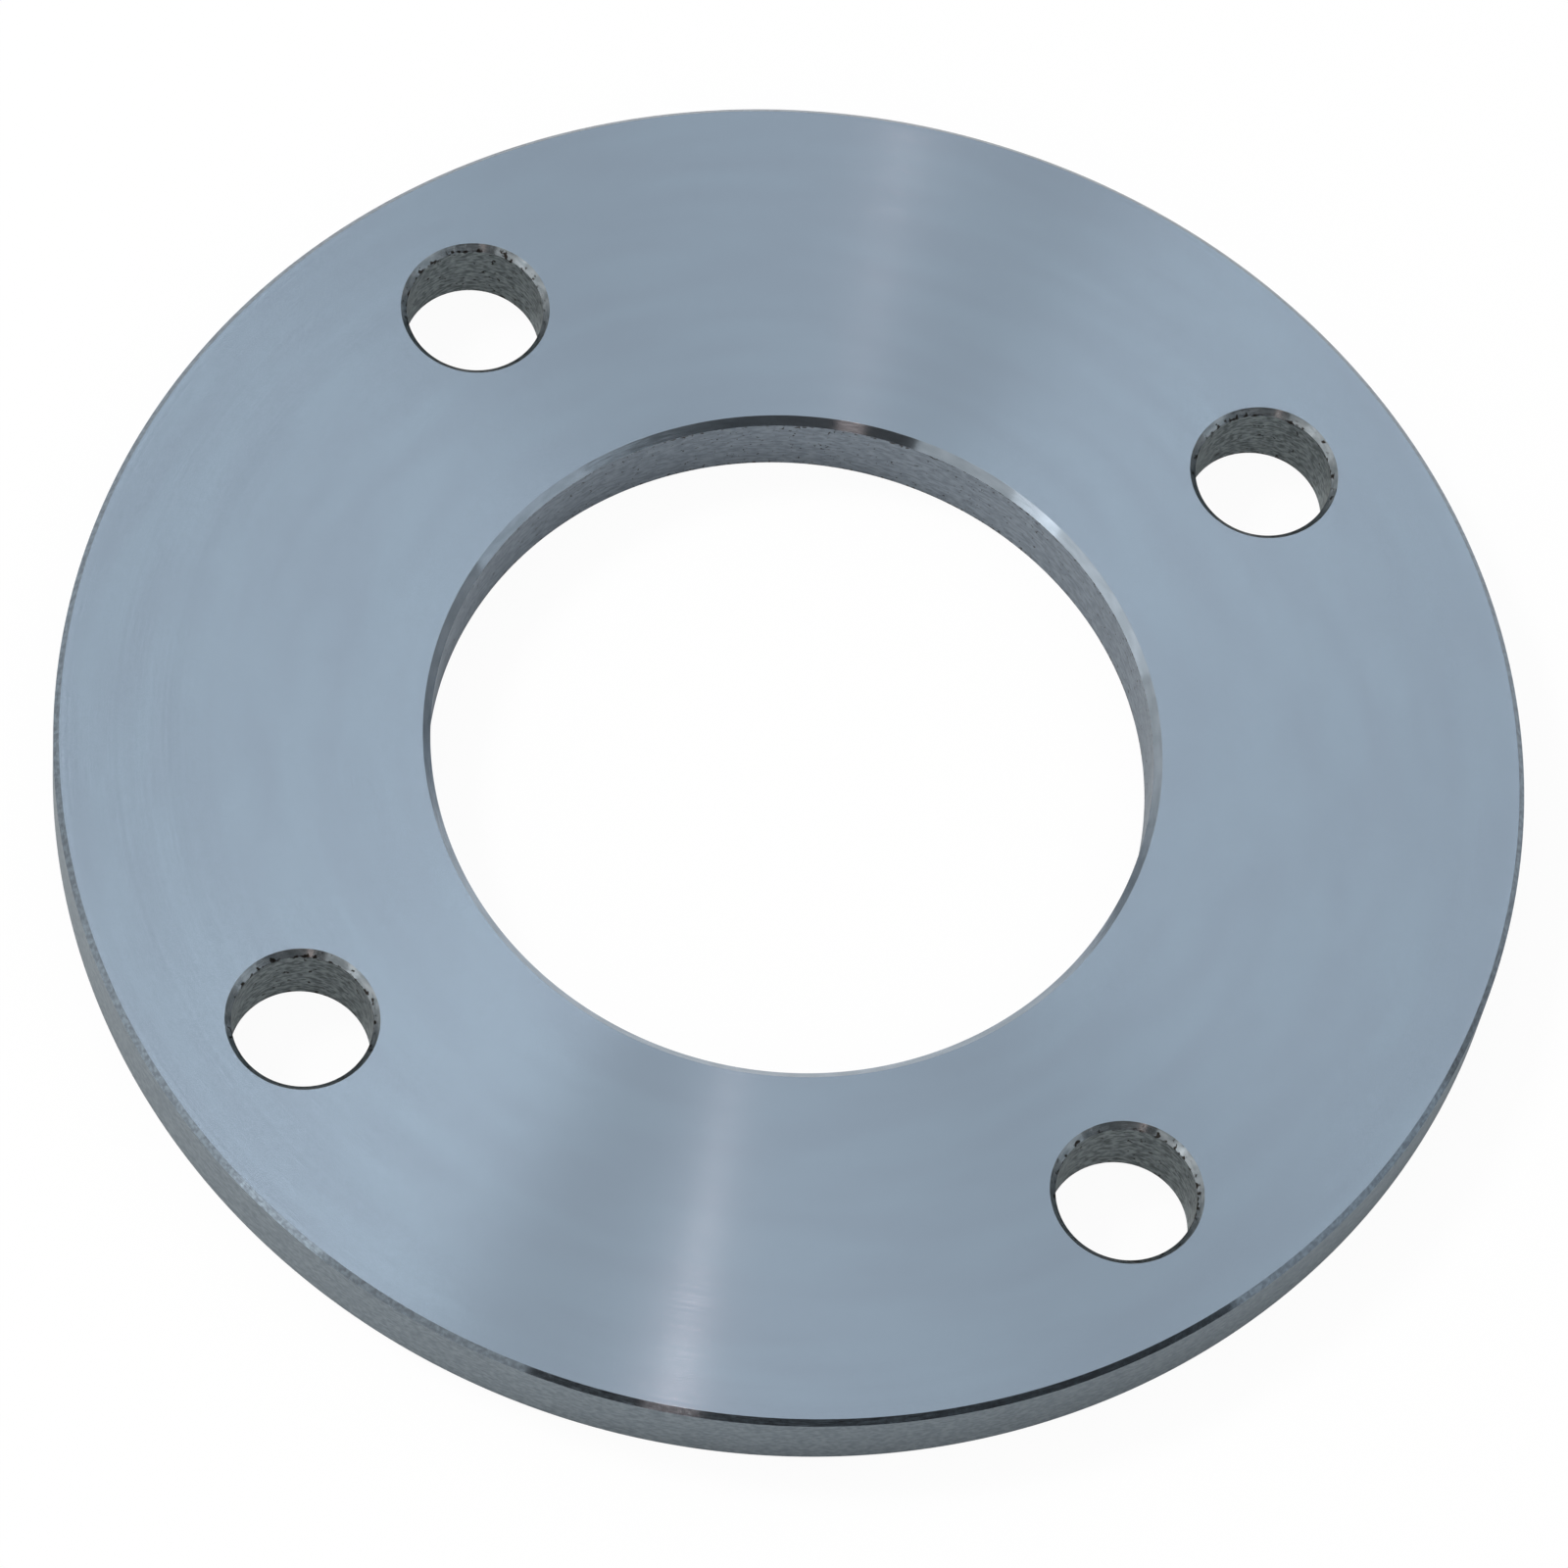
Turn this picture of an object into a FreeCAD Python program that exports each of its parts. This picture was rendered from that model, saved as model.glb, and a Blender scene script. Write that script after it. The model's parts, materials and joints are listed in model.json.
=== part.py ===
import FreeCAD, Part
import os
import Sketcher

# A slip-on plate flange for a DN 80 (3 inch) steel pipe: one flat steel ring, in one piece.
# The ring is turned, flat on both faces, with its corners broken at the rim and at the bore.
# The bolt holes are drilled straight through on the bolt circle, astride the two centre lines.
# Each one is countersunk a little from above, and its burr is taken off below.
# Frame: Z is the pipe's axis, the underside is at z = 0, and the origin is the bore's centre there.
# Sizes are in millimetres.

node_name = "plate_flange"

# Each size that can be set by itself. A chamfer is at 45 degrees, and its size is its leg.
sizes = {
    "pipe_diameter": 88.9,  # outside of the pipe that the flange slips over
    "pipe_clearance": 2.1,  # how much wider the bore is than that pipe
    "plate_thickness": 11.0,  # from the underside to the top face
    "bolt_circle_diameter": 146.0,  # the circle through the bolt holes' centres
    "bolt_circle_to_rim": 19.5,  # the land outside that circle, which carries the bolt heads
    "bolt_count": 4,
    "bolt_diameter": 16.0,
    "bolt_clearance": 1.5,  # how much wider a bolt hole is than its bolt
    "rim_chamfer": 0.7,
    "rim_chamfer_below": 0.7,
    "bore_chamfer": 1.0,
    "bore_chamfer_below": 0.3,
    "hole_chamfer": 0.8,
    "hole_chamfer_below": 0.3,
}

# What follows from those sizes, as formulas that the features are bound to
bore_radius = "(sizes.pipe_diameter + sizes.pipe_clearance) / 2"
rim_radius = "sizes.bolt_circle_diameter / 2 + sizes.bolt_circle_to_rim"
hole_diameter = "sizes.bolt_diameter + sizes.bolt_clearance"
first_hole_angle = "180 deg / sizes.bolt_count"  # half a step, so that no hole is on a centre line
countersink_angle = 90
full_turn = 360

same_place = 1e-4  # lengths that differ by less are the same

# How a sketch numbers its points: the line and then the point on it
start_of, end_of, centre_of = 1, 2, 3
across_axis = -1
sketch_origin = (across_axis, start_of)


def fill_sheet(doc):
    sheet = doc.addObject("Spreadsheet::Sheet", "sizes")
    for row, (name, size) in enumerate(sizes.items(), start=1):
        sheet.set(f"A{row}", name)
        sheet.set(f"B{row}", str(size))
        sheet.setAlias(f"B{row}", name)
    doc.recompute()


def origin_feature(body, role):
    return next(item for item in body.Origin.OriginFeatures if item.Role == role)


def add_sketch(body, name, plane):
    sketch = body.newObject("Sketcher::SketchObject", name)
    sketch.AttachmentSupport = (origin_feature(body, plane), [""])
    sketch.MapMode = "FlatFace"
    sketch.Visibility = False
    return sketch


def constrain(sketch, kind, *what):
    return sketch.addConstraint(Sketcher.Constraint(kind, *what))


# A named dimension that starts at its formula's value and stays bound to the formula
def dimension(sketch, name, kind, what, formula):
    value = sketch.evalExpression(formula)
    if kind == "Angle":
        value = value.getValueAs("rad").Value
    constraint = constrain(sketch, kind, *what, value)
    sketch.renameConstraint(constraint, name)
    sketch.setExpression("Constraints." + name, formula)


# Half of the ring's section, right of the pipe's axis: across is the radius, up is the height.
# It is drawn anticlockwise, from the underside's inner end.
def draw_section(body):
    sketch = add_sketch(body, "ring_section", "XZ_Plane")
    bore = sketch.evalExpression(bore_radius)
    rim = sketch.evalExpression(rim_radius)
    top = sizes["plate_thickness"]
    corners = [
        (bore + sizes["bore_chamfer_below"], 0),
        (rim - sizes["rim_chamfer_below"], 0),
        (rim, sizes["rim_chamfer_below"]),
        (rim, top - sizes["rim_chamfer"]),
        (rim - sizes["rim_chamfer"], top),
        (bore + sizes["bore_chamfer"], top),
        (bore, top - sizes["bore_chamfer"]),
        (bore, sizes["bore_chamfer_below"]),
    ]
    points = [FreeCAD.Vector(across, up, 0) for across, up in corners]
    for start, end in zip(points, points[1:] + points[:1]):
        sketch.addGeometry(Part.LineSegment(start, end))
    underside, rim_below, rim_wall, rim_above, face, bore_above, bore_wall, bore_below = range(len(points))

    for line in range(len(points)):
        constrain(sketch, "Coincident", line, end_of, (line + 1) % len(points), start_of)
    constrain(sketch, "PointOnObject", underside, start_of, across_axis)
    for line in (underside, face):
        constrain(sketch, "Horizontal", line)
    for line in (rim_wall, bore_wall):
        constrain(sketch, "Vertical", line)
    dimension(sketch, "bore", "DistanceX", (*sketch_origin, bore_wall, start_of), bore_radius)
    dimension(sketch, "rim", "DistanceX", (*sketch_origin, rim_wall, start_of), rim_radius)
    dimension(sketch, "top", "DistanceY", (*sketch_origin, face, start_of), "sizes.plate_thickness")

    # Each chamfer's two legs, measured from its left end and from its lower end
    for name, line, left, right, lower, upper in (
        ("rim_chamfer_below", rim_below, start_of, end_of, start_of, end_of),
        ("rim_chamfer", rim_above, end_of, start_of, start_of, end_of),
        ("bore_chamfer", bore_above, end_of, start_of, end_of, start_of),
        ("bore_chamfer_below", bore_below, start_of, end_of, end_of, start_of),
    ):
        leg = "sizes." + name
        dimension(sketch, name + "_across", "DistanceX", (line, left, line, right), leg)
        dimension(sketch, name + "_up", "DistanceY", (line, lower, line, upper), leg)
    return sketch


def turn_ring(body):
    section = draw_section(body)
    ring = body.newObject("PartDesign::Revolution", "turned_ring")
    ring.Profile = section
    ring.ReferenceAxis = (section, ["V_Axis"])
    ring.Angle = full_turn
    return ring


# The first bolt hole's circle on the top face, placed by a spoke from the pipe's axis
def draw_first_hole(body):
    sketch = add_sketch(body, "first_hole_place", "XY_Plane")
    sketch.setExpression("AttachmentOffset.Base.z", "sizes.plate_thickness")
    reach = sizes["bolt_circle_diameter"] / 2
    tip = FreeCAD.Vector(reach, reach, 0)
    spoke = sketch.addGeometry(Part.LineSegment(FreeCAD.Vector(0, 0, 0), tip), True)
    hole = sketch.addGeometry(Part.Circle(tip, FreeCAD.Vector(0, 0, 1), sizes["bolt_diameter"] / 2))
    constrain(sketch, "Coincident", spoke, start_of, *sketch_origin)
    constrain(sketch, "Coincident", hole, centre_of, spoke, end_of)
    dimension(sketch, "bolt_circle", "Distance", (spoke,), "sizes.bolt_circle_diameter / 2")
    dimension(sketch, "first_hole", "Angle", (across_axis, spoke), first_hole_angle)
    dimension(sketch, "hole", "Diameter", (hole,), hole_diameter)
    return sketch


def drill_holes(body):
    place = draw_first_hole(body)
    body.Document.recompute()
    hole = body.newObject("PartDesign::Hole", "bolt_hole")
    hole.Profile = place
    hole.DepthType = "ThroughAll"
    hole.HoleCutType = "Countersink"
    hole.HoleCutCustomValues = True
    hole.HoleCutCountersinkAngle = countersink_angle
    hole.setExpression("Diameter", hole_diameter)
    hole.setExpression("HoleCutDiameter", hole_diameter + " + 2 * sizes.hole_chamfer")

    circle = body.newObject("PartDesign::PolarPattern", "bolt_circle")
    circle.Originals = [hole]
    circle.Axis = (origin_feature(body, "Z_Axis"), [""])
    circle.Angle = full_turn
    circle.setExpression("Occurrences", "sizes.bolt_count")
    body.Tip = circle
    body.Document.recompute()
    return circle


# The drill's burr is taken off the edge where each hole comes out of the underside
def deburr_holes(body, drilled):
    radius = drilled.evalExpression(hole_diameter) / 2
    edges = [
        f"Edge{number}"
        for number, edge in enumerate(drilled.Shape.Edges, start=1)
        if isinstance(edge.Curve, Part.Circle)
        and abs(edge.Curve.Radius - radius) < same_place
        and abs(edge.Curve.Center.z) < same_place
    ]
    burrs = body.newObject("PartDesign::Chamfer", "hole_burrs")
    burrs.Base = (drilled, edges)
    burrs.setExpression("Size", "sizes.hole_chamfer_below")
    body.Document.recompute()
    return burrs


# Stops if a feature failed, the flange isn't one valid solid, or a hole wasn't drilled through
def check(doc, body, ring):
    for item in doc.Objects:
        if "Invalid" in item.State or "Error" in item.State:
            raise RuntimeError(f"{item.Label} failed: {item.State}")
    shape = body.Shape
    if shape.isNull() or not shape.isValid() or len(shape.Solids) != 1:
        raise RuntimeError(f"{body.Label} isn't one valid solid")
    drill = Part.makeCylinder(body.evalExpression(hole_diameter) / 2, sizes["plate_thickness"])
    if ring.Shape.Volume - shape.Volume < sizes["bolt_count"] * drill.Volume:
        raise RuntimeError("a bolt hole doesn't go through")


def main():
    doc = FreeCAD.newDocument("plate_flange")
    fill_sheet(doc)
    body = doc.addObject("PartDesign::Body", node_name)
    body.Label = node_name
    ring = turn_ring(body)
    drilled = drill_holes(body)
    deburr_holes(body, drilled)
    check(doc, body, ring)
    os.makedirs("parts", exist_ok=True)
    body.Shape.exportStep(f"parts/{body.Label}.step")
    box = body.Shape.BoundBox
    print(f"{body.Label}: {box.XLength:.2f} x {box.YLength:.2f} x {box.ZLength:.2f} mm, "
          f"{body.Shape.Volume / 1000:.1f} cm3, {len(body.Shape.Faces)} faces")


main()
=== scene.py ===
import json
import math

import bpy
from mathutils import Euler, Matrix, Vector


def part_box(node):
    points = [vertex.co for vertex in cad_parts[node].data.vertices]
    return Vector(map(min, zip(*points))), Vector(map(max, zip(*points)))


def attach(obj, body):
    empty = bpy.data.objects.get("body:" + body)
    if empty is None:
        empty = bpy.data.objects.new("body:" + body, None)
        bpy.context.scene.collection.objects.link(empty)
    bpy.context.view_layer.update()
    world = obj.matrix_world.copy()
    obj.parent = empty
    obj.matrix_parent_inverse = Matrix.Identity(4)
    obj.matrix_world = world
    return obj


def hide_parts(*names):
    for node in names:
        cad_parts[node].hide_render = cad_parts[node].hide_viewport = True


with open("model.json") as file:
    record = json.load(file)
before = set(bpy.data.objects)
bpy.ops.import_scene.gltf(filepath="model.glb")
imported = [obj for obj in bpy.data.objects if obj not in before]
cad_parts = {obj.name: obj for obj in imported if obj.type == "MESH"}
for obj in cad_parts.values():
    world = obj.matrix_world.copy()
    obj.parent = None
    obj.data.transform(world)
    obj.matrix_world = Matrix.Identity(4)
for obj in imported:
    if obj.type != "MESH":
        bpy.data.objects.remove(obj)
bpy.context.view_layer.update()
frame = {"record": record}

# A turned steel plate flange, lying flat on a pale floor.
# The sizes that the frame holds are read from it, and everything else is set beside the code that uses it.

mm = 0.001
samePlace = mm / 1000  # corners that are nearer to each other than this are one


# Tools that every piece uses

def applyModifier(obj, kind, **settings):
    bpy.ops.object.select_all(action="DESELECT")
    obj.select_set(True)
    bpy.context.view_layer.objects.active = obj
    modifier = obj.modifiers.new(kind.title(), kind)
    for name, value in settings.items():
        setattr(modifier, name, value)
    bpy.ops.object.modifier_apply(modifier=modifier.name)


# Turns a section, given as corners of radius and height, round the Z axis.
# An open section is a solid bar with both ends filled, and a closed one is a ring.
def turnSection(name, corners, steps, closed):
    radius, height = corners[0]
    bpy.ops.object.select_all(action="DESELECT")
    bpy.ops.mesh.primitive_circle_add(
        vertices=steps, radius=radius, location=(0, 0, height),
        fill_type="NOTHING" if closed else "NGON")
    piece = bpy.context.object
    piece.name = name
    bpy.ops.object.transform_apply(location=True, rotation=True, scale=True)
    bpy.ops.object.mode_set(mode="EDIT")
    bpy.ops.mesh.select_all(action="SELECT")
    path = corners[1:] + corners[:1] if closed else corners[1:]
    for nextRadius, nextHeight in path:
        bpy.ops.mesh.extrude_region_move(
            TRANSFORM_OT_translate={"value": (0, 0, nextHeight - height)})
        growth = nextRadius / radius
        bpy.ops.transform.resize(value=(growth, growth, 1), center_override=(0, 0, 0))
        radius, height = nextRadius, nextHeight
    bpy.ops.mesh.select_all(action="SELECT")
    bpy.ops.mesh.remove_doubles(threshold=samePlace)
    bpy.ops.mesh.normals_make_consistent(inside=False)
    bpy.ops.object.mode_set(mode="OBJECT")
    return piece


# The flange

flange = {
    "rimChamfer": 0.7 * mm,  # both corners of the rim
    "brokenEdge": 0.06 * mm,  # radius that handling leaves on every sharp corner
    "brokenEdgeSteps": 3,
    "sharpAngle": 30,  # degrees from which a corner is sharp
    "smoothAngle": 40,  # degrees up to which facets are shaded as one surface
    "ringSteps": 360,  # facets round the rim and the bore
    "holeSteps": 120,  # facets round a bolt hole
    "drillOvershoot": 1.0 * mm,
}
mounts = {mount["name"]: mount for mount in frame["record"]["mounts"]}


# A round wall's radius and its lower and upper ends, where its chamfers start
def wallOf(mount):
    radius = mount["dims"]["r_mm"] * mm
    half = mount["dims"]["length_mm"] * mm / 2
    return radius, mount["pos_m"][2] - half, mount["pos_m"][2] + half


lowCorner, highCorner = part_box("plate_flange")
rimRadius = min(-lowCorner.x, highCorner.x, -lowCorner.y, highCorner.y)
thickness = highCorner.z
boreRadius, boreLow, boreHigh = wallOf(mounts["pipe_bore"])


def buildFlange():
    chamfer = flange["rimChamfer"]
    ring = turnSection("flangeRing", [
        (boreRadius + boreLow, 0),
        (rimRadius - chamfer, 0),
        (rimRadius, chamfer),
        (rimRadius, thickness - chamfer),
        (rimRadius - chamfer, thickness),
        (boreRadius + thickness - boreHigh, thickness),
        (boreRadius, boreHigh),
        (boreRadius, boreLow),
    ], flange["ringSteps"], closed=True)
    print("flange: ring turned")

    past = flange["drillOvershoot"]
    boltHoles = [mount for name, mount in mounts.items() if name.startswith("bolt_hole_")]
    for mount in boltHoles:
        radius, low, high = wallOf(mount)
        drill = turnSection("drill", [
            (radius + low + past, -past),
            (radius, low),
            (radius, high),
            (radius + thickness - high + past, thickness + past),
        ], flange["holeSteps"], closed=False)
        drill.location = (mount["pos_m"][0], mount["pos_m"][1], 0)
        applyModifier(ring, "BOOLEAN", operation="DIFFERENCE", solver="EXACT", object=drill)
        bpy.data.objects.remove(drill)
    print("flange:", len(boltHoles), "holes drilled")

    applyModifier(ring, "BEVEL", width=flange["brokenEdge"], segments=flange["brokenEdgeSteps"],
                  limit_method="ANGLE", angle_limit=math.radians(flange["sharpAngle"]))
    bpy.ops.object.shade_smooth_by_angle(angle=math.radians(flange["smoothAngle"]))
    applyModifier(ring, "WEIGHTED_NORMAL", keep_sharp=True)
    print("flange: edges broken,", len(ring.data.polygons), "faces")
    return ring


ring = buildFlange()
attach(ring, "root")
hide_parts("plate_flange")


# Steel, in the finishes that the tools leave

# A colour from its sRGB hex code
def colour(code):
    parts = [int(code[at:at + 2], 16) / 255 for at in (0, 2, 4)]
    return [part / 12.92 if part <= 0.04045 else ((part + 0.055) / 1.055) ** 2.4
            for part in parts] + [1]


# Adds a node. What goes into each socket is another node's socket or a fixed value.
# A Mix node takes its two colours at sockets 6 and 7, and gives their blend at 2.
def addNode(tree, kind, sockets, **settings):
    node = tree.nodes.new("ShaderNode" + kind)
    for name, value in settings.items():
        setattr(node, name, value)
    for socket, value in sockets.items():
        if isinstance(value, bpy.types.NodeSocket):
            tree.links.new(value, node.inputs[socket])
        else:
            node.inputs[socket].default_value = value
    return node


# Each finish has the lightest and darkest tone of its steel, the width and length of its patches of tone,
# its roughness, how much further light smears across the tool marks than along them, the width and length
# of those marks, and how steep their flanks are. A width is across the marks and a length along them, and
# marks without a length are whole rings. Specks have a size, and lie along the ends of a mount's wall.
finishes = {
    # Mild steel faced on a lathe: rings too fine to see, which smear light outwards into a fan
    "facedSteel": {
        "light": "98A8B8", "dark": "96A5B5", "patch": (5 * mm, 20 * mm),
        "roughness": 0.25, "anisotropy": 1.0, "mark": (0.015 * mm, None), "slope": 0.35,
        "slopeAtRim": 1.0,
    },
    # The same steel turned at the rim with a coarser feed: duller and grainy, with its tone painted darker
    # than the face as shade on the side wall
    "turnedSteel": {
        "light": "828D94", "dark": "6E7981", "patch": (0.4 * mm, 0.8 * mm),
        "roughness": 0.45, "anisotropy": 0.7, "mark": (0.5 * mm, 9 * mm), "slope": 0.1,
    },
    # The rim's upper corner, worn smooth: a thin line that mirrors the black card
    "wornSteel": {
        "light": "7E8B96", "dark": "6A747E", "patch": (0.6 * mm, 0.6 * mm),
        "roughness": 0.13, "anisotropy": 0.9, "mark": (0.05 * mm, 2 * mm), "slope": 0.1,
    },
    # Bored to size: rings of tool marks down the wall, and pits along its two ends; its tone is painted
    # darker than the face as shade on the wall
    "boredSteel": {
        "light": "87929C", "dark": "727C86", "patch": (0.4 * mm, 1.2 * mm),
        "roughness": 0.42, "anisotropy": 0.8, "mark": (0.4 * mm, 9 * mm), "slope": 0.1,
        "speck": 0.5 * mm, "mount": "pipe_bore",
    },
    # The bore's mouth, cut with a pointed tool: a bright land that mirrors what is dark or light
    "chamferedSteel": {
        "light": "9BA7B3", "dark": "909CA7", "patch": (1 * mm, 3 * mm),
        "roughness": 0.14, "anisotropy": 0.9, "mark": (0.05 * mm, 2 * mm), "slope": 0.07,
    },
    # Drilled: torn and grainy, with specks of scale and oil along the ends; its darker tone is painted
    # shade inside the hole
    "drilledSteel": {
        "light": "9EA9AC", "dark": "6A7376", "patch": (0.4 * mm, 0.9 * mm),
        "roughness": 0.5, "anisotropy": 0.5, "mark": (0.6 * mm, 5 * mm), "slope": 0.12,
        "speck": 0.8 * mm, "mount": "bolt_hole_1",
    },
    # Countersinks: cut with a chattering tool, so broken and specked with burrs
    "countersunkSteel": {
        "light": "929AA0", "dark": "7A8389", "patch": (0.6 * mm, 1.5 * mm),
        "roughness": 0.2, "anisotropy": 0.85, "mark": (0.05 * mm, 1 * mm), "slope": 0.2,
        "speck": 0.8 * mm, "mount": "bolt_hole_1",
    },
    # The lower corners, where burrs were taken off: rough, and their tone painted dark as the shade where
    # they meet the floor
    "deburredSteel": {
        "light": "4C5358", "dark": "3E4549", "patch": (1 * mm, 3 * mm),
        "roughness": 0.45, "anisotropy": 0.5, "mark": (0.3 * mm, 3 * mm), "slope": 0.1,
    },
}
patchEdges = (0.35, 0.65)  # noise below the first is the darkest tone, and above the second the lightest
specks = {
    "colour": "2E2C2A",
    "above": 0.65,  # how strong the noise is where a speck starts
    "edge": 0.05,  # how much stronger it is where the speck is full
    "gather": 0.6 * mm,  # how far from a wall's end they are thicker
    "thicker": 0.13,  # how much is added to the noise there
    "detail": 3.0,
}
tellApart = {
    "face": 0.99,  # how upright a face's normal is at least
    "wall": 0.1,  # and a wall's at most
    "nearEdge": 2 * mm,  # what lies nearer to the rim or to the bore belongs to it
}


# Noise in spots that are drawn out along the tool marks
def addGrain(tree, place, distance, spot):
    width, length = spot
    step = addNode(tree, "Math", {0: distance, 1: width}, operation="DIVIDE").outputs[0]
    if length is None:
        noise = addNode(tree, "TexNoise", {"W": step, "Scale": 1.0, "Detail": 1.0}, noise_dimensions="1D")
    else:
        flat = addNode(tree, "VectorMath", {0: place, 1: (1 / length, 1 / length, 0)}, operation="MULTIPLY")
        lift = addNode(tree, "CombineXYZ", {"Z": step})
        point = addNode(tree, "VectorMath", {0: flat.outputs[0], 1: lift.outputs[0]}, operation="ADD")
        noise = addNode(tree, "TexNoise", {"Vector": point.outputs[0], "Scale": 1.0, "Detail": 1.0})
    return noise.outputs[0]


def makeSteel(name, look):
    steel = bpy.data.materials.new(name)
    steel.use_nodes = True
    tree = steel.node_tree
    place = addNode(tree, "TexCoord", {}).outputs["Object"]
    height = addNode(tree, "SeparateXYZ", {0: place}).outputs["Z"]

    # Across the marks is outwards on a face, and up and down on a wall or a chamfer
    if name == "facedSteel":
        spoke = addNode(tree, "VectorMath", {0: place, 1: (1, 1, 0)}, operation="MULTIPLY").outputs[0]
        distance = addNode(tree, "VectorMath", {0: spoke}, operation="LENGTH").outputs["Value"]
        across = addNode(tree, "VectorMath", {0: spoke}, operation="NORMALIZE").outputs[0]
        slope = addNode(tree, "MapRange", {
            "Value": distance, "From Min": boreRadius, "From Max": rimRadius,
            "To Min": look["slope"], "To Max": look["slopeAtRim"]}).outputs[0]
    else:
        distance = height
        across = addNode(tree, "CombineXYZ", {"Z": 1.0}).outputs[0]
        slope = look["slope"]

    # The flanks of the marks lean the surface across them, to either side
    marks = addGrain(tree, place, distance, look["mark"])
    side = addNode(tree, "MapRange", {"Value": marks, "To Min": -1.0, "To Max": 1.0}).outputs[0]
    lean = addNode(tree, "Math", {0: side, 1: slope}, operation="MULTIPLY").outputs[0]
    flank = addNode(tree, "VectorMath", {0: across, "Scale": lean}, operation="SCALE").outputs[0]
    surface = addNode(tree, "NewGeometry", {}).outputs["Normal"]
    leaning = addNode(tree, "VectorMath", {0: surface, 1: flank}, operation="ADD").outputs[0]
    normal = addNode(tree, "VectorMath", {0: leaning}, operation="NORMALIZE").outputs[0]

    patches = addGrain(tree, place, distance, look["patch"])
    share = addNode(tree, "MapRange", {
        "Value": patches, "From Min": patchEdges[0], "From Max": patchEdges[1]}).outputs[0]
    tone = addNode(tree, "Mix", {0: share, 6: colour(look["dark"]), 7: colour(look["light"])},
                   data_type="RGBA").outputs[2]
    if "speck" in look:
        low, high = wallOf(mounts[look["mount"]])[1:]
        middle, reach = (low + high) / 2, (high - low) / 2
        offMiddle = addNode(tree, "Math", {0: height, 1: middle}, operation="SUBTRACT").outputs[0]
        fromMiddle = addNode(tree, "Math", {0: offMiddle}, operation="ABSOLUTE").outputs[0]
        offEnd = addNode(tree, "Math", {0: fromMiddle, 1: reach}, operation="SUBTRACT").outputs[0]
        fromEnd = addNode(tree, "Math", {0: offEnd}, operation="ABSOLUTE").outputs[0]
        thicker = addNode(tree, "MapRange", {
            "Value": fromEnd, "From Max": specks["gather"],
            "To Min": specks["thicker"], "To Max": 0.0}).outputs[0]
        grains = addNode(tree, "TexNoise", {
            "Vector": place, "Scale": 1 / look["speck"], "Detail": specks["detail"]}).outputs[0]
        heap = addNode(tree, "Math", {0: grains, 1: thicker}, operation="ADD").outputs[0]
        share = addNode(tree, "MapRange", {
            "Value": heap, "From Min": specks["above"],
            "From Max": specks["above"] + specks["edge"]}).outputs[0]
        tone = addNode(tree, "Mix", {0: share, 6: tone, 7: colour(specks["colour"])},
                       data_type="RGBA").outputs[2]

    shader = tree.nodes["Principled BSDF"]
    for socket, source in (("Base Color", tone), ("Tangent", across), ("Normal", normal)):
        tree.links.new(source, shader.inputs[socket])
    shader.inputs["Metallic"].default_value = 1
    shader.inputs["Roughness"].default_value = look["roughness"]
    shader.inputs["Anisotropic"].default_value = look["anisotropy"]
    return steel


# The finish of the tool that cut a facet of the mesh
def finishOf(facet):
    radius = facet.center.xy.length
    upright = abs(facet.normal.z)
    if upright > tellApart["face"]:
        return "facedSteel"
    # Sloped facets low down are the lower corners, which take the steel painted dark as their shade along
    # the floor
    if upright > tellApart["wall"] and facet.center.z < thickness / 2:
        return "deburredSteel"
    atRim = radius > rimRadius - tellApart["nearEdge"]
    atBore = radius < boreRadius + tellApart["nearEdge"]
    if upright > tellApart["wall"]:
        return "wornSteel" if atRim else "chamferedSteel" if atBore else "countersunkSteel"
    return "turnedSteel" if atRim else "boredSteel" if atBore else "drilledSteel"


def finishFlange():
    ring.data.materials.clear()
    for name, look in finishes.items():
        ring.data.materials.append(makeSteel(name, look))
    order = list(finishes)
    for facet in ring.data.polygons:
        facet.material_index = order.index(finishOf(facet))
    print("flange:", len(finishes), "finishes")


finishFlange()


# The camera

view = {
    "distance": 1.0593,  # metres from the underside's centre
    "elevation": 62.91,  # degrees above the floor
    "turn": 1.64,  # degrees anticlockwise round the flange, from straight in front
    "roll": 10.37,  # degrees that the picture is turned clockwise
    "lens": 192.3,  # millimetres, for a sensor of the width below
    "sensor": 36,
    "right": -0.21 * mm,
    "up": -0.68 * mm,
    "nearest": 0.05,  # metres within which nothing is seen
    "farthest": 20,  # metres beyond which nothing is seen
}


def placeCamera():
    data = bpy.data.cameras.new("camera")
    data.lens = view["lens"]
    data.sensor_width = view["sensor"]
    data.clip_start = view["nearest"]
    data.clip_end = view["farthest"]
    camera = bpy.data.objects.new("camera", data)
    bpy.context.scene.collection.objects.link(camera)
    aim = Euler((math.radians(90 - view["elevation"]), 0, math.radians(view["turn"]))).to_matrix()
    camera.matrix_world = (
        Matrix.Translation(aim @ Vector((view["right"], view["up"], view["distance"])))
        @ (aim @ Matrix.Rotation(math.radians(view["roll"]), 3, "Z")).to_4x4())
    bpy.context.scene.camera = camera


placeCamera()
print("camera placed")


# The studio: a pale room with soft lights overhead and at the left, a small flash beside the camera,
# and a black and a grey card that the chamfers mirror

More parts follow.
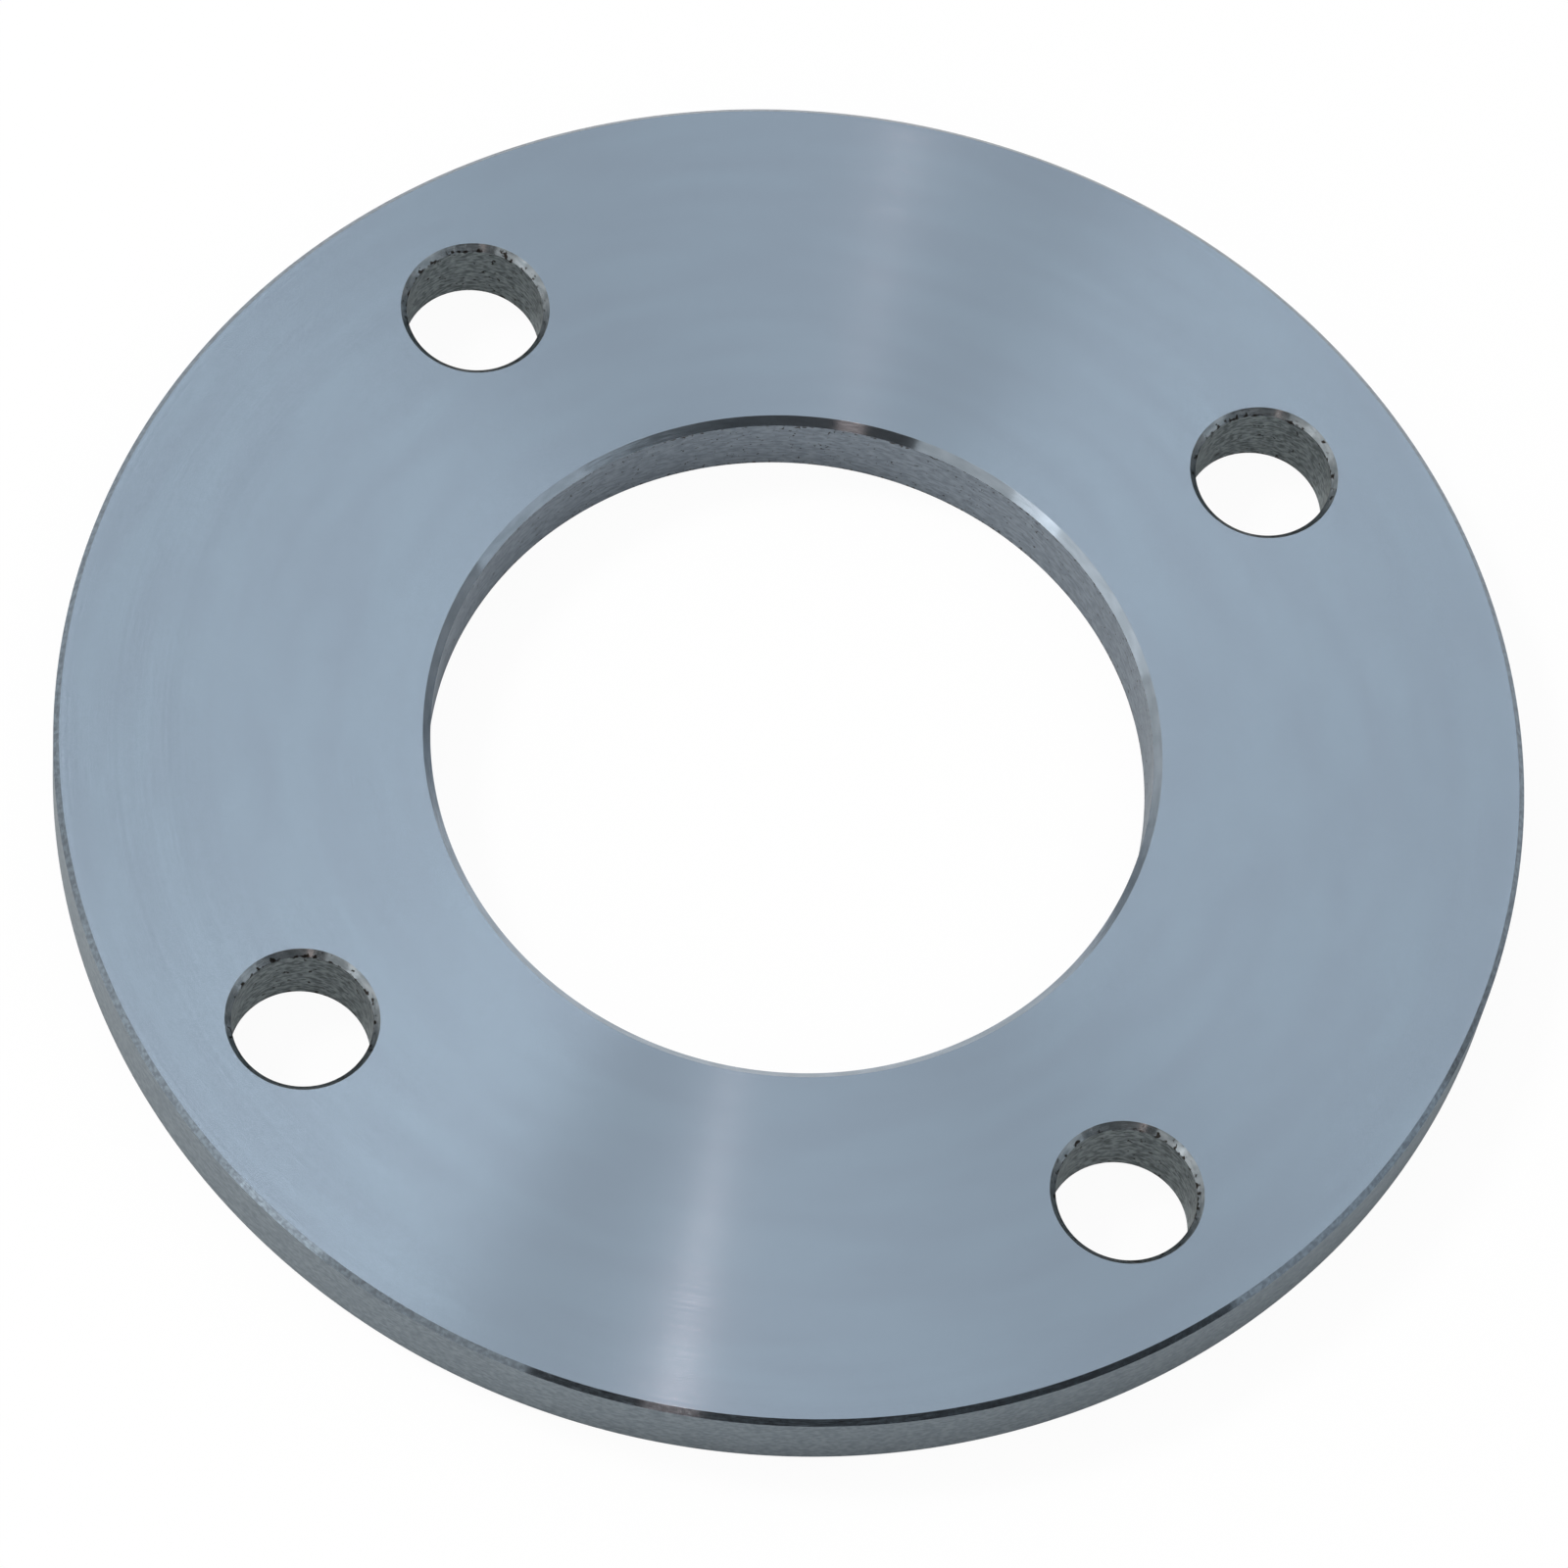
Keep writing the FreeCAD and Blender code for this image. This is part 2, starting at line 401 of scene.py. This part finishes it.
# A brightness of 1 is white. A lamp's is that of its own face, so one below the room's makes a dark patch.
studio = {
    "roomBright": 0.87,
    "roomDark": 0.79,
    "brightTint": "FFFBF6",
    "darkTint": "F6FBFF",
    "brightSide": (-0.87, -0.5, 0),  # the way from the flange to the room's bright side
    "lamps": {
        # middle in metres, width and length, turn in degrees, brightness, colour.
        # A lamp without a turn faces the flange.
        "stripLight": ((-0.59, 0.55, 2.5), (0.33, 2.5), -3, 1.8, "FFFFFF"),  # the fan's light band
        "softBox": ((0.3, -0.92, 2.5), (0.8, 2.5), 3, 0.44, "FFFFFF"),  # its dim band
        "greyBox": ((1.15, -0.88, 2.5), (0.9, 2.5), 3, 0.05, "FFFFFF"),  # the darkest part of that
        "window": ((-2.0, -0.7, 0.75), (1.6, 0.9), None, 0.42, "FFFFFF"),  # dims the chamfers at the left
        "reflector": ((-1.47, -1.34, 0.8), (0.46, 0.45), None, 1.15, "FFFFFF"),  # a glint on them
        "flash": ((0.014, -0.483, 0.943), (0.02, 0.25), None, 33.0, "FFDACC"),  # the streak in front
        "bounce": ((0.027, -0.95, 0.46), (0.1, 0.13), None, 1.8, "FFE0D4"),  # its end on the chamfers
        "sideLight": ((-1.6, 0.5, 1.86), (0.6, 0.6), None, 38.0, "FFFFFF"),  # lights the floor
    },
    "shadeOnly": ["sideLight"],  # lamps that light the floor and aren't mirrored in the steel
    "cards": {
        # middle in metres, length and height, turn in degrees, colour
        "blackCard": ((1.2, -1.2, 0.69), (3.04, 0.62), 0, "0A0A0A"),
        "greyCard": ((1.6, 0.8, 0.3), (1.2, 0.6), 90, "A0A0A0"),
    },
    "cardRoughness": 0.9,
    "floorSize": 12,
    "floorTint": "D8D8D8",
    "floorRoughness": 0.8,
    "floorGlow": 0.95,  # how much of the floor is plain white, the rest being lit and shaded
    "floorGlowInSteel": 0.06,  # the same for the floor's mirror image
}
white = (1, 1, 1, 1)


# Matt paper: it takes soft shade and mirrors nothing
def makePaper(name, tint, roughness):
    paper = bpy.data.materials.new(name)
    paper.use_nodes = True
    shader = paper.node_tree.nodes["Principled BSDF"]
    shader.inputs["Base Color"].default_value = colour(tint)
    shader.inputs["Roughness"].default_value = roughness
    return paper


# To the camera the floor is nearly plain white, but it keeps a little of the flange's shadow
def layFloor():
    bpy.ops.object.select_all(action="DESELECT")
    bpy.ops.mesh.primitive_plane_add(size=studio["floorSize"], location=(0, 0, 0))
    floor = bpy.context.object
    floor.name = "floor"
    paper = makePaper("whitePaper", studio["floorTint"], studio["floorRoughness"])
    tree = paper.node_tree
    path = addNode(tree, "LightPath", {}).outputs
    mirrored = addNode(tree, "Math", {0: path["Is Glossy Ray"], 1: path["Is Transmission Ray"]},
                       operation="MAXIMUM").outputs[0]
    inSteel = addNode(tree, "Math", {0: mirrored, 1: studio["floorGlowInSteel"]},
                      operation="MULTIPLY").outputs[0]
    share = addNode(tree, "Math", {0: path["Is Camera Ray"], 1: studio["floorGlow"], 2: inSteel},
                    operation="MULTIPLY_ADD").outputs[0]
    glow = addNode(tree, "Emission", {"Color": white, "Strength": 1.0})
    mixed = addNode(tree, "MixShader", {
        0: share, 1: tree.nodes["Principled BSDF"].outputs[0], 2: glow.outputs[0]})
    tree.links.new(mixed.outputs[0], tree.nodes["Material Output"].inputs["Surface"])
    floor.data.materials.append(paper)


# The room's light grows from its dark side to its bright one, and to the camera the room is white
def lightRoom():
    world = bpy.data.worlds.new("room")
    world.use_nodes = True
    tree = world.node_tree
    room = tree.nodes["Background"]
    direction = addNode(tree, "TexCoord", {}).outputs["Generated"]
    sideways = addNode(tree, "VectorMath", {0: direction, 1: studio["brightSide"]},
                       operation="DOT_PRODUCT").outputs["Value"]
    level = addNode(tree, "MapRange", {
        "Value": sideways, "From Min": -1.0, "From Max": 1.0,
        "To Min": studio["roomDark"], "To Max": studio["roomBright"]}).outputs[0]
    share = addNode(tree, "MapRange", {"Value": sideways, "From Min": -1.0, "From Max": 1.0}).outputs[0]
    tint = addNode(tree, "Mix", {0: share, 6: colour(studio["darkTint"]), 7: colour(studio["brightTint"])},
                   data_type="RGBA").outputs[2]
    tree.links.new(tint, room.inputs["Color"])
    tree.links.new(level, room.inputs["Strength"])
    backdrop = addNode(tree, "Background", {"Color": white, "Strength": 1.0})
    path = addNode(tree, "LightPath", {}).outputs
    mixed = addNode(tree, "MixShader", {
        0: path["Is Camera Ray"], 1: room.outputs[0], 2: backdrop.outputs[0]})
    tree.links.new(mixed.outputs[0], tree.nodes["World Output"].inputs["Surface"])
    bpy.context.scene.world = world


def hangLamps():
    for name, (middle, (width, length), turn, brightness, tint) in studio["lamps"].items():
        data = bpy.data.lights.new(name, "AREA")
        data.shape = "RECTANGLE"
        data.size = width
        data.size_y = length
        data.energy = brightness * math.pi * width * length
        data.color = colour(tint)[:3]
        lamp = bpy.data.objects.new(name, data)
        lamp.location = middle
        if turn is None:
            lamp.rotation_euler = Vector(middle).to_track_quat("Z", "Y").to_euler()
        else:
            lamp.rotation_euler = (0, 0, math.radians(turn))
        lamp.visible_camera = False
        lamp.visible_glossy = name not in studio["shadeOnly"]
        bpy.context.scene.collection.objects.link(lamp)


def standCards():
    for name, (middle, (length, height), turn, tint) in studio["cards"].items():
        bpy.ops.object.select_all(action="DESELECT")
        bpy.ops.mesh.primitive_plane_add(
            size=1, location=middle, rotation=(math.pi / 2, 0, math.radians(turn)))
        card = bpy.context.object
        card.name = name
        card.scale = (length, height, 1)
        card.visible_camera = False
        card.visible_diffuse = False
        card.data.materials.append(makePaper(name, tint, studio["cardRoughness"]))


layFloor()
lightRoom()
hangLamps()
standCards()
bpy.context.scene.view_settings.view_transform = "Standard"
print("studio lit")
